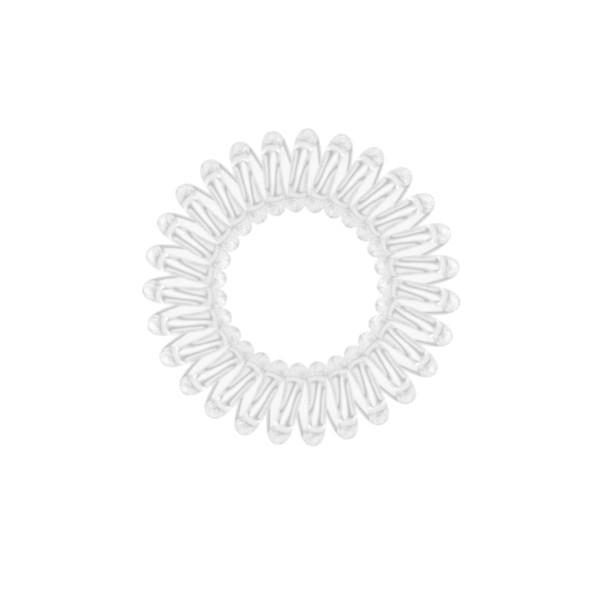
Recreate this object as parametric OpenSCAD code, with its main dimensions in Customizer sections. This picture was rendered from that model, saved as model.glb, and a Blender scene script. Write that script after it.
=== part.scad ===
// Spiral hair tie: one round plastic cord wound as a close helix, bent round
// into a ring and welded end to end. It lies flat, with the ring's axis along
// +Z and its underside on Z = 0. All sizes are in millimetres.

/* [Ring] */
// Clear width of the hole, between opposite turns
hole_d = 17.8; // [13:0.1:26]
// Bearing of the first turn's outermost point, turned from +X towards +Y
first_bearing = 7.6; // [0:0.1:13.3]

/* [Coil] */
// Width of the coil from the hole to the outside, measured over the cord
coil_w = 10; // [7:0.1:14]
// Height of the coil, measured over the cord; it sags a little as it lies
coil_h = 8.6; // [6:0.1:14]
// Thickness of the round cord
cord_d = 2.3; // [1.8:0.1:3]
// Least gap left between neighbouring turns, where they meet at the hole
turn_gap = 0.02; // [0.01:0.01:0.5]

/* [Hidden] */

// Clear plastic, faintly grey
clear_plastic = [0.93, 0.94, 0.95, 0.45];

// Half the width and half the height of one turn, to the middle of the cord
half_w = (coil_w - cord_d) / 2;
half_h = (coil_h - cord_d) / 2;
// Radius of the ring, from its centre to the coil's own axis
ring_r = (hole_d + coil_w) / 2;

// The cord crosses the hole side at a slant, so a turn takes up a little more
// than the cord's thickness there. The coil has as many turns as fit.
turn_room = cord_d + turn_gap;
turn_pitch = turn_room / sqrt(1 - pow(turn_room / (2 * PI * half_h), 2));
turns = floor(PI * (hole_d + cord_d) / turn_pitch);

// Facets round the cord, and cross-sections along each turn: a multiple of
// four, so that the coil's width and height come out true
cord_sides = 10;
facets_at_most = 12000;
sections_per_turn = 4 * floor(facets_at_most / (8 * cord_sides * turns));
sections = turns * sections_per_turn;

// A direction that points away from the ring's axis at a bearing, and the one
// that runs round the ring there
function outward(bearing) = [cos(bearing), sin(bearing), 0];
function around(bearing) = [-sin(bearing), cos(bearing), 0];
up = [0, 0, 1];

// How far round its turn section i lies: 0 is outermost, 90 the top, 180 at
// the hole and 270 the underside
function winding(i) = 360 * i / sections_per_turn;
function bearing(i) = first_bearing + 360 * i / sections;

// Distance from the ring's axis to the middle of the cord
function reach(i) = ring_r + half_w * cos(winding(i));

// Middle of the cord
function middle(i) =
    reach(i) * outward(bearing(i)) + (coil_h / 2 + half_h * sin(winding(i))) * up;

// Outwards from the turn, square to the cord's run
function away(i) =
    let (out = half_h * cos(winding(i)) * outward(bearing(i)) + half_w * sin(winding(i)) * up)
    out / norm(out);

// The cord's run, as the slope of middle(i)
function run(i) =
    half_h * cos(winding(i)) * up - half_w * sin(winding(i)) * outward(bearing(i))
    + reach(i) / turns * around(bearing(i));

// Square to both, so it points towards the next turn
function aside(i) = let (side = cross(run(i), away(i))) side / norm(side);

// Point k of section i, with its first point on the outside of the turn
function skin(i, k) =
    let (turned = 360 * k / cord_sides)
    middle(i) + cord_d / 2 * (cos(turned) * away(i) + sin(turned) * aside(i));

// Number of point k of section i, where the last section meets the first
function number(i, k) = (i % sections) * cord_sides + k % cord_sides;

// The whole cord, swept round the ring and closed on itself
module coil() {
    color(clear_plastic)
        polyhedron(
            points = [
                for (i = [0 : sections - 1], k = [0 : cord_sides - 1]) skin(i, k)
            ],
            faces = [
                for (i = [0 : sections - 1], k = [0 : cord_sides - 1])
                    for (face = [
                        [number(i, k), number(i + 1, k), number(i + 1, k + 1)],
                        [number(i, k), number(i + 1, k + 1), number(i, k + 1)]
                    ]) face
            ],
            convexity = 10
        );
}

coil();
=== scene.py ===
"""Looks of the spiral hair tie: the clear cord, the floor, the lights and the camera.

Everything is in metres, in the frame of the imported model. The file is laid out
as an add-on and is run as a script.
"""
import math

import bpy
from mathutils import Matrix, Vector


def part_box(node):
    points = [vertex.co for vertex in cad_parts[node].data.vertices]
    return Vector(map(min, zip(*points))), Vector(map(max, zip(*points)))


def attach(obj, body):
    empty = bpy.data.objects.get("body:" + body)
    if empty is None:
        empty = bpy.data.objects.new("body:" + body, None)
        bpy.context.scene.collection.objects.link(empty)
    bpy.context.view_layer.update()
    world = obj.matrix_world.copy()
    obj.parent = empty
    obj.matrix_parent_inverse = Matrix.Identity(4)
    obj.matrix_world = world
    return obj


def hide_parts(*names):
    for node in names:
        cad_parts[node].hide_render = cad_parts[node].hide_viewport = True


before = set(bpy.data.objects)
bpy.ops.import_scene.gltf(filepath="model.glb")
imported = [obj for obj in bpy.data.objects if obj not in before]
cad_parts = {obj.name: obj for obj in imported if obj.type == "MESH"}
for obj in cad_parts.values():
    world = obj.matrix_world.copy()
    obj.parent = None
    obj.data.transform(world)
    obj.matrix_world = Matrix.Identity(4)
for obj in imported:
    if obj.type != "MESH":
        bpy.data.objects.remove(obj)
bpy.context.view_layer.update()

bl_info = {
    "name": "Spiral Hair Tie",
    "version": (1, 0, 0),
    "blender": (4, 5, 0),
    "location": "View3D > Sidebar > Hair Tie",
    "description": "Winds a clear plastic cord into a ring and sets a light table under it",
    "category": "Add Mesh",
}

MILLIMETRE = 0.001
NODE = "coil"
BODY = "root"
# Attributes of the cord's mesh, which its material reads
RUN = "cord_run"
SECTION = "cord_section"
# The photograph's ring lies a little right of its middle and above it
CAMERA_PLACE = (-0.19 * MILLIMETRE, -1.48 * MILLIMETRE)
# How far the cord bends light: between the 1.41 of silicone and the 1.50 of
# polyurethane, matched to the streaks that the photograph shows inside it
CORD_IOR = 1.44
# Lengths, round the cord and along it, of its slow waves and of the die's lines
WAVE_LENGTHS = (1.2 * MILLIMETRE, 2.6 * MILLIMETRE)
LINE_LENGTHS = (0.3 * MILLIMETRE, 9.0 * MILLIMETRE)
# The polished face of the opal sheet
SHEET_IOR = 1.49
SHEET_ROUGHNESS = 0.12
# Half the width of the opal sheet and of the light tray
FLOOR_HALF = 20.0
TRAY_HALF = 5.0
# Half the angle over which an edge of the lamp or tray fades, seen from the ring
SOFT_EDGE = math.radians(4.0)
# A side box's width and height, and its middle's distance from the ring's axis
# and height over the table
SIDE_BOX_SIZE = (0.8, 0.6)
SIDE_BOX_PLACE = (0.6, 0.42)
# The box over the table, which hangs above the camera
TOP_BOX_SIZE = (0.8, 0.8)
TOP_BOX_HEIGHT = 1.2
# The camera's sensor in millimetres, and how near and how far it sees
SENSOR_WIDTH = 36
NEAREST, FARTHEST = 0.01, 100
# Light is trapped for a long time in the ends of the turns
LIGHT_BOUNCES = 128
SHEET_BOUNCES = 32
# Width of the pixel filter, in pixels, which makes the picture as soft as the
# photograph
PICTURE_SOFTNESS = 2.4
# Watts for each square metre of an area light that make it as bright as a
# surface with an emission of 1
LIGHT_UNIT = math.pi


def linear(colour):
    """An sRGB hex colour, such as #E8EAEC, as linear red, green and blue."""
    channels = [int(colour[i:i + 2], 16) / 255 for i in (1, 3, 5)]
    return tuple(
        c / 12.92 if c <= 0.04045 else ((c + 0.055) / 1.055) ** 2.4
        for c in channels
    )


def measured():
    """The coil's reach from the ring's axis, its hole's radius and its height."""
    reaches = [math.hypot(v.co.x, v.co.y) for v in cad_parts[NODE].data.vertices]
    low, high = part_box(NODE)
    return max(reaches), min(reaches), high[2] - low[2]


OUTER_RADIUS, HOLE_RADIUS, COIL_HEIGHT = measured()


class HairTieCord(bpy.types.PropertyGroup):
    """Sizes and colours of the cord."""

    outer_radius: bpy.props.FloatProperty(
        name="Outer radius",
        description="From the ring's centre to the outside of the coil",
        default=OUTER_RADIUS, min=0.005, unit="LENGTH",
    )
    hole_radius: bpy.props.FloatProperty(
        name="Hole radius",
        description="From the ring's centre to the coil",
        default=HOLE_RADIUS, min=0.002, unit="LENGTH",
    )
    height: bpy.props.FloatProperty(
        name="Height",
        description="Height of the coil, measured over the cord",
        default=COIL_HEIGHT, min=0.003, unit="LENGTH",
    )
    thickness: bpy.props.FloatProperty(
        name="Cord thickness",
        description="Diameter of the round cord",
        default=2.3 * MILLIMETRE, min=0.0005, unit="LENGTH",
    )
    turns: bpy.props.IntProperty(
        name="Turns",
        description="Turns of the cord in the whole ring",
        default=27, min=3,
    )
    first_bearing: bpy.props.FloatProperty(
        name="First bearing",
        description="Where the first turn is outermost, turned from +X towards +Y",
        default=math.radians(7.6), subtype="ANGLE",
    )
    sections: bpy.props.IntProperty(
        name="Sections a turn",
        description="Cross-sections of the mesh along each turn",
        default=64, min=8,
    )
    sides: bpy.props.IntProperty(
        name="Sides",
        description="Faces of the mesh round the cord",
        default=44, min=6,
    )
    tint: bpy.props.FloatVectorProperty(
        name="Tint",
        description="What the plastic does to light that passes it",
        default=linear("#F5F5F5"), subtype="COLOR", min=0, max=1,
    )
    roughness: bpy.props.FloatProperty(
        name="Roughness",
        description="How far the surface blurs what is seen in it",
        default=0.09, min=0, max=1, subtype="FACTOR",
    )
    wave_height: bpy.props.FloatProperty(
        name="Wave height",
        description="Height of the slow waves along the cord",
        default=0.05 * MILLIMETRE, min=0, unit="LENGTH",
    )
    line_height: bpy.props.FloatProperty(
        name="Line height",
        description="Height of the fine lines that the die draws along the cord",
        default=0.002 * MILLIMETRE, min=0, unit="LENGTH",
    )


class HairTieStage(bpy.types.PropertyGroup):
    """Light table, lights and camera."""

    view_width: bpy.props.FloatProperty(
        name="View width",
        description="Width of the picture at the middle of the coil",
        default=71.14 * MILLIMETRE, unit="LENGTH",
    )
    camera_height: bpy.props.FloatProperty(
        name="Camera height",
        description="From the table to the camera",
        default=0.5, unit="LENGTH",
    )
    opal_share: bpy.props.FloatProperty(
        name="Opal share",
        description="Share of the sheet's light that it scatters; the rest comes straight through",
        default=0.52, min=0, max=1, subtype="FACTOR",
    )
    lamp_depth: bpy.props.FloatProperty(
        name="Lamp depth",
        description="From the sheet down to the lamp and its tray",
        default=1.0, unit="LENGTH",
    )
    lamp_angle: bpy.props.FloatProperty(
        name="Lamp's edge",
        description="How far off straight down the lamp ends and its dark rim begins",
        default=math.radians(25.0), subtype="ANGLE",
    )
    tray_angle: bpy.props.FloatProperty(
        name="Tray's edge",
        description="How far off straight down the dark rim ends and the light tray begins",
        default=math.radians(36.5), subtype="ANGLE",
    )
    tray_glow: bpy.props.FloatProperty(
        name="Tray glow",
        description="Brightness of the light tray beside the lamp's 1",
        default=0.72, min=0,
    )
    room_low: bpy.props.FloatProperty(
        name="Room's walls",
        description="Brightness of the room at the table's own height",
        default=0.9, min=0,
    )
    room_high: bpy.props.FloatProperty(
        name="Room's ceiling",
        description="Brightness of the room straight above the table",
        default=1.06, min=0,
    )
    side_glow: bpy.props.FloatProperty(
        name="Side boxes",
        description="Brightness of the soft boxes left and right of the table",
        default=0.2, min=0,
    )
    top_glow: bpy.props.FloatProperty(
        name="Top box",
        description="Brightness of the soft box over the table",
        default=0.3, min=0,
    )


def node(tree, kind, inputs=None, **settings):
    """Adds a node with its settings, and its inputs as values or as links."""
    made = tree.nodes.new(kind)
    for name, value in settings.items():
        setattr(made, name, value)
    for name, value in (inputs or {}).items():
        if isinstance(value, bpy.types.NodeSocket):
            tree.links.new(value, made.inputs[name])
        else:
            made.inputs[name].default_value = value
    return made


def cord_tree():
    """Geometry Nodes that wind a round cord as a helix bent round into a ring."""
    tree = bpy.data.node_groups.new("Wound cord", "GeometryNodeTree")
    for name, kind in (
        ("Outer radius", "NodeSocketFloat"),
        ("Hole radius", "NodeSocketFloat"),
        ("Height", "NodeSocketFloat"),
        ("Cord radius", "NodeSocketFloat"),
        ("Turns", "NodeSocketInt"),
        ("First bearing", "NodeSocketFloat"),
        ("Sections a turn", "NodeSocketInt"),
        ("Sides", "NodeSocketInt"),
        ("Material", "NodeSocketMaterial"),
    ):
        tree.interface.new_socket(name, in_out="INPUT", socket_type=kind)
    tree.interface.new_socket("Cord", in_out="OUTPUT", socket_type="NodeSocketGeometry")

    size = node(tree, "NodeGroupInput").outputs

    def work(operation, *values):
        """The result of a Math node on up to three numbers or links."""
        return node(
            tree, "ShaderNodeMath", dict(enumerate(values)), operation=operation).outputs[0]

    # Radius of the ring to the middle of the coil, and half the width and half
    # the height of one turn to the middle of the cord
    across = work("ADD", size["Outer radius"], size["Hole radius"])
    ring_radius = work("MULTIPLY", across, 0.5)
    half_width = work(
        "SUBTRACT", work("SUBTRACT", size["Outer radius"], ring_radius), size["Cord radius"])
    middle_height = work("MULTIPLY", size["Height"], 0.5)
    half_height = work("SUBTRACT", middle_height, size["Cord radius"])
    count = work("MULTIPLY", size["Turns"], size["Sections a turn"])

    # How far round its turn each point of the cord lies, and its bearing
    index = node(tree, "GeometryNodeInputIndex").outputs[0]
    winding = work("MULTIPLY", index, work("DIVIDE", math.tau, size["Sections a turn"]))
    bearing = work("ADD", work("DIVIDE", winding, size["Turns"]), size["First bearing"])
    cosine, sine = work("COSINE", winding), work("SINE", winding)
    outward = node(tree, "ShaderNodeCombineXYZ", {
        "X": work("COSINE", bearing), "Y": work("SINE", bearing)}).outputs[0]

    def placed(distance, height):
        """The point at a distance from the ring's axis and at a height."""
        flat = node(
            tree, "ShaderNodeVectorMath", {0: outward, "Scale": distance},
            operation="SCALE").outputs[0]
        raised = node(tree, "ShaderNodeCombineXYZ", {"Z": height}).outputs[0]
        return node(
            tree, "ShaderNodeVectorMath", {0: flat, 1: raised}, operation="ADD").outputs[0]

    # Middle of the cord, and its normal, square to the cord and out of the turn
    middle = placed(
        work("MULTIPLY_ADD", cosine, half_width, ring_radius),
        work("MULTIPLY_ADD", sine, half_height, middle_height))
    away = placed(
        work("MULTIPLY", cosine, half_height),
        work("MULTIPLY", sine, half_width))

    loop = node(
        tree, "GeometryNodeCurvePrimitiveCircle",
        {"Resolution": count, "Radius": ring_radius}, mode="RADIUS").outputs[0]
    wound = node(
        tree, "GeometryNodeSetPosition", {"Geometry": loop, "Position": middle}).outputs[0]
    path = node(
        tree, "GeometryNodeSetCurveNormal", {"Curve": wound, "Normal": away},
        mode="FREE").outputs[0]

    # Where each point lies along the cord, as a place on a circle as long as the
    # cord, so that a pattern meets itself where the cord closes
    length = node(tree, "GeometryNodeCurveLength", {"Curve": path}).outputs[0]
    share = work("DIVIDE", work("MULTIPLY", index, math.tau), count)
    circle = work("DIVIDE", length, math.tau)
    run = node(tree, "ShaderNodeCombineXYZ", {
        "X": work("MULTIPLY", circle, work("COSINE", share)),
        "Y": work("MULTIPLY", circle, work("SINE", share))}).outputs[0]
    marked = node(tree, "GeometryNodeStoreNamedAttribute", {
        "Geometry": path, "Name": RUN, "Value": run,
    }, data_type="FLOAT_VECTOR", domain="POINT").outputs[0]
    profile = node(
        tree, "GeometryNodeCurvePrimitiveCircle",
        {"Resolution": size["Sides"], "Radius": size["Cord radius"]}, mode="RADIUS").outputs[0]
    # Where it lies round the cord, as a place in the cord's own cross-section
    position = node(tree, "GeometryNodeInputPosition").outputs[0]
    marked_profile = node(tree, "GeometryNodeStoreNamedAttribute", {
        "Geometry": profile, "Name": SECTION, "Value": position,
    }, data_type="FLOAT_VECTOR", domain="POINT").outputs[0]
    tube = node(
        tree, "GeometryNodeCurveToMesh",
        {"Curve": marked, "Profile Curve": marked_profile}).outputs[0]
    smooth = node(
        tree, "GeometryNodeSetShadeSmooth", {"Geometry": tube, "Shade Smooth": True}).outputs[0]
    real = node(tree, "GeometryNodeRealizeInstances", {"Geometry": smooth}).outputs[0]
    finished = node(
        tree, "GeometryNodeSetMaterial",
        {"Geometry": real, "Material": size["Material"]}).outputs[0]
    node(tree, "NodeGroupOutput", {"Cord": finished})
    return tree


def clear_plastic(sizes):
    """Clear thermoplastic polyurethane, extruded as a round cord.

    The die and the haul-off leave it glossy but never quite even, so what is
    seen through each turn bends a little differently.
    """
    material = bpy.data.materials.new("extruded_clear_tpu")
    material.use_nodes = True
    tree = material.node_tree
    tree.nodes.clear()
    section = node(tree, "ShaderNodeAttribute", attribute_name=SECTION).outputs["Vector"]
    run = node(tree, "ShaderNodeAttribute", attribute_name=RUN).outputs["Vector"]
    run_parts = node(tree, "ShaderNodeSeparateXYZ", {0: run}).outputs
    section_parts = node(tree, "ShaderNodeSeparateXYZ", {0: section}).outputs

    def unevenness(around, along, detail):
        """A pattern whose lumps are this long round the cord and along it."""
        stretched = [
            node(tree, "ShaderNodeMath", {0: part, 1: 1 / size}, operation="MULTIPLY").outputs[0]
            for part, size in (
                (section_parts["X"], around), (section_parts["Y"], around),
                (run_parts["X"], along), (run_parts["Y"], along))]
        place = node(tree, "ShaderNodeCombineXYZ", dict(enumerate(stretched[:3]))).outputs[0]
        return node(tree, "ShaderNodeTexNoise", {
            "Vector": place, "W": stretched[3], "Scale": 1.0, "Detail": detail,
        }, noise_dimensions="4D").outputs[0]

    # The haul-off pulls in slow waves, and the die draws fine lines along the
    # cord; real ones are finer, and these are as coarse as they need to show
    waves = node(tree, "ShaderNodeBump", {
        "Height": unevenness(*WAVE_LENGTHS, 1.0),
        "Strength": 1.0, "Distance": sizes.wave_height}).outputs[0]
    lines = node(tree, "ShaderNodeBump", {
        "Height": unevenness(*LINE_LENGTHS, 0.0),
        "Strength": 1.0, "Distance": sizes.line_height, "Normal": waves}).outputs[0]
    surface = node(tree, "ShaderNodeBsdfPrincipled", {
        "Base Color": (*sizes.tint, 1),
        "Roughness": sizes.roughness,
        "IOR": CORD_IOR,
        "Transmission Weight": 1.0,
        "Normal": lines,
    })
    node(tree, "ShaderNodeOutputMaterial", {"Surface": surface.outputs[0]})
    return material


def grown(tree, name, values):
    """A mesh made by a tree of Geometry Nodes, with its modifier's inputs set."""
    piece = bpy.data.objects.new(name, bpy.data.meshes.new(name))
    bpy.context.scene.collection.objects.link(piece)
    modifier = piece.modifiers.new(tree.name, "NODES")
    modifier.node_group = tree
    for item in tree.interface.items_tree:
        if item.in_out == "INPUT":
            modifier[item.identifier] = values[item.name]
    depsgraph = bpy.context.evaluated_depsgraph_get()
    plain = bpy.data.meshes.new_from_object(
        piece.evaluated_get(depsgraph), preserve_all_data_layers=True, depsgraph=depsgraph)
    piece.modifiers.clear()
    empty, piece.data = piece.data, plain
    bpy.data.meshes.remove(empty)
    plain.name = name
    return piece


class HAIRTIE_OT_wind_cord(bpy.types.Operator):
    """Winds the clear cord and closes it into a ring"""

    bl_idname = "hairtie.wind_cord"
    bl_label = "Wind the cord"

    def execute(self, context):
        sizes = context.scene.hairtie_cord
        cord = grown(cord_tree(), "coil_cord", {
            "Outer radius": sizes.outer_radius,
            "Hole radius": sizes.hole_radius,
            "Height": sizes.height,
            "Cord radius": sizes.thickness / 2,
            "Turns": sizes.turns,
            "First bearing": sizes.first_bearing,
            "Sections a turn": sizes.sections,
            "Sides": sizes.sides,
            "Material": clear_plastic(sizes),
        })
        if not cord.data.polygons:
            raise RuntimeError("the cord came out without faces")
        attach(cord, BODY)
        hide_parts(NODE)
        return {"FINISHED"}


def flat_piece(name, half, height, material):
    """A square sheet of the stage, which isn't part of the hair tie."""
    mesh = bpy.data.meshes.new(name)
    mesh.from_pydata(
        [(-half, -half, height), (half, -half, height), (half, half, height),
         (-half, half, height)],
        [], [(0, 1, 2, 3)])
    mesh.materials.append(material)
    sheet = bpy.data.objects.new(name, mesh)
    bpy.context.scene.collection.objects.link(sheet)


def opal_sheet(stage):
    """Cast opal acrylic, lit from below: white, with a polished face that mirrors the room.

    It scatters a share of the light and lets the rest straight through, so the
    lamp's dark rim shows in it from high up at a slant, and inside the cord.
    """
    material = bpy.data.materials.new("cast_opal_acrylic")
    material.use_nodes = True
    tree = material.node_tree
    tree.nodes.clear()
    sheet = node(tree, "ShaderNodeBsdfPrincipled", {
        "Base Color": (0, 0, 0, 1),
        "Roughness": SHEET_ROUGHNESS,
        "IOR": SHEET_IOR,
        "Alpha": stage.opal_share,
        "Emission Color": (1, 1, 1, 1),
        "Emission Strength": 1.0,
    }).outputs[0]
    node(tree, "ShaderNodeOutputMaterial", {"Surface": sheet})
    return material


def lamp_and_tray(stage):
    """A round lamp, its dark rim and a wide light tray round them, all with soft edges."""
    material = bpy.data.materials.new("diffused_lamp_and_tray")
    material.use_nodes = True
    tree = material.node_tree
    tree.nodes.clear()
    place = node(tree, "ShaderNodeTexCoord").outputs["Object"]
    level = node(
        tree, "ShaderNodeVectorMath", {0: place, 1: (1, 1, 0)}, operation="MULTIPLY").outputs[0]
    distance = node(
        tree, "ShaderNodeVectorMath", {0: level}, operation="LENGTH").outputs["Value"]

    def edge(angle, inside, outside):
        """A soft step in brightness where the ring lies at an angle off straight down."""
        near, far = (
            stage.lamp_depth * math.tan(angle + side * SOFT_EDGE) for side in (-1, 1))
        return node(tree, "ShaderNodeMapRange", {
            "Value": distance, "From Min": near, "From Max": far,
            "To Min": inside, "To Max": outside,
        }, interpolation_type="SMOOTHSTEP").outputs["Result"]

    strength = node(tree, "ShaderNodeMath", {
        0: edge(stage.lamp_angle, 1, 0), 1: edge(stage.tray_angle, 0, stage.tray_glow),
    }, operation="ADD").outputs[0]
    glow = node(
        tree, "ShaderNodeEmission", {"Color": (1, 1, 1, 1), "Strength": strength}).outputs[0]
    node(tree, "ShaderNodeOutputMaterial", {"Surface": glow})
    return material


def white_room(scene, stage):
    """A white room that is brighter towards its ceiling."""
    world = bpy.data.worlds.new("White room")
    scene.world = world
    world.use_nodes = True
    tree = world.node_tree
    tree.nodes.clear()
    direction = node(tree, "ShaderNodeTexCoord").outputs["Generated"]
    height = node(tree, "ShaderNodeSeparateXYZ", {0: direction}).outputs["Z"]
    strength = node(tree, "ShaderNodeMapRange", {
        "Value": height, "To Min": stage.room_low, "To Max": stage.room_high,
    }).outputs["Result"]
    light = node(tree, "ShaderNodeBackground", {
        "Color": (1, 1, 1, 1), "Strength": strength}).outputs[0]
    node(tree, "ShaderNodeOutputWorld", {"Surface": light})


def soft_box(scene, name, place, size, glow):
    """A soft box of a given brightness, turned towards the hair tie."""
    data = bpy.data.lights.new(name, "AREA")
    data.shape = "RECTANGLE"
    data.size, data.size_y = size
    data.energy = glow * LIGHT_UNIT * data.size * data.size_y
    lamp = bpy.data.objects.new(name, data)
    lamp.location = place
    aim = -Vector(place)
    lamp.rotation_euler = aim.to_track_quat("-Z", "Y").to_euler()
    scene.collection.objects.link(lamp)


class HAIRTIE_OT_set_stage(bpy.types.Operator):
    """Sets the light table, the soft boxes and the camera"""

    bl_idname = "hairtie.set_stage"
    bl_label = "Set the stage"

    def execute(self, context):
        stage = context.scene.hairtie_stage
        scene = context.scene
        flat_piece("floor", FLOOR_HALF, 0, opal_sheet(stage))
        flat_piece("under_lamp", TRAY_HALF, -stage.lamp_depth, lamp_and_tray(stage))
        white_room(scene, stage)
        for name, side in (("soft_box_left", -1), ("soft_box_right", 1)):
            place = (side * SIDE_BOX_PLACE[0], 0, SIDE_BOX_PLACE[1])
            soft_box(scene, name, place, SIDE_BOX_SIZE, stage.side_glow)
        soft_box(scene, "soft_box_top", (0, 0, TOP_BOX_HEIGHT), TOP_BOX_SIZE, stage.top_glow)

        data = bpy.data.cameras.new("camera")
        data.sensor_width = SENSOR_WIDTH
        reach = stage.camera_height - scene.hairtie_cord.height / 2
        data.lens = data.sensor_width * reach / stage.view_width
        data.clip_start, data.clip_end = NEAREST, FARTHEST
        camera = bpy.data.objects.new("camera", data)
        camera.location = (*CAMERA_PLACE, stage.camera_height)
        scene.collection.objects.link(camera)
        scene.camera = camera

        scene.view_settings.view_transform = "Standard"
        cycles = scene.cycles
        for name in ("max_bounces", "transmission_bounces", "glossy_bounces"):
            setattr(cycles, name, LIGHT_BOUNCES)
        cycles.transparent_max_bounces = SHEET_BOUNCES
        cycles.use_denoising = True
        cycles.filter_width = PICTURE_SOFTNESS
        return {"FINISHED"}


class HAIRTIE_PT_panel(bpy.types.Panel):
    """Lists the steps that make the hair tie"""

    bl_idname = "HAIRTIE_PT_panel"
    bl_label = "Spiral hair tie"
    bl_space_type = "VIEW_3D"
    bl_region_type = "UI"
    bl_category = "Hair Tie"

    def draw(self, context):
        for settings, step in (
            (context.scene.hairtie_cord, HAIRTIE_OT_wind_cord),
            (context.scene.hairtie_stage, HAIRTIE_OT_set_stage),
        ):
            box = self.layout.box()
            for name in settings.__annotations__:
                box.prop(settings, name)
            box.operator(step.bl_idname)


CLASSES = (
    HairTieCord, HairTieStage, HAIRTIE_OT_wind_cord, HAIRTIE_OT_set_stage, HAIRTIE_PT_panel,
)


def register():
    for made in CLASSES:
        bpy.utils.register_class(made)
    bpy.types.Scene.hairtie_cord = bpy.props.PointerProperty(type=HairTieCord)
    bpy.types.Scene.hairtie_stage = bpy.props.PointerProperty(type=HairTieStage)


def unregister():
    del bpy.types.Scene.hairtie_cord
    del bpy.types.Scene.hairtie_stage
    for made in reversed(CLASSES):
        bpy.utils.unregister_class(made)


def main():
    register()
    bpy.ops.hairtie.wind_cord()
    bpy.ops.hairtie.set_stage()


if __name__ == "__main__":
    main()
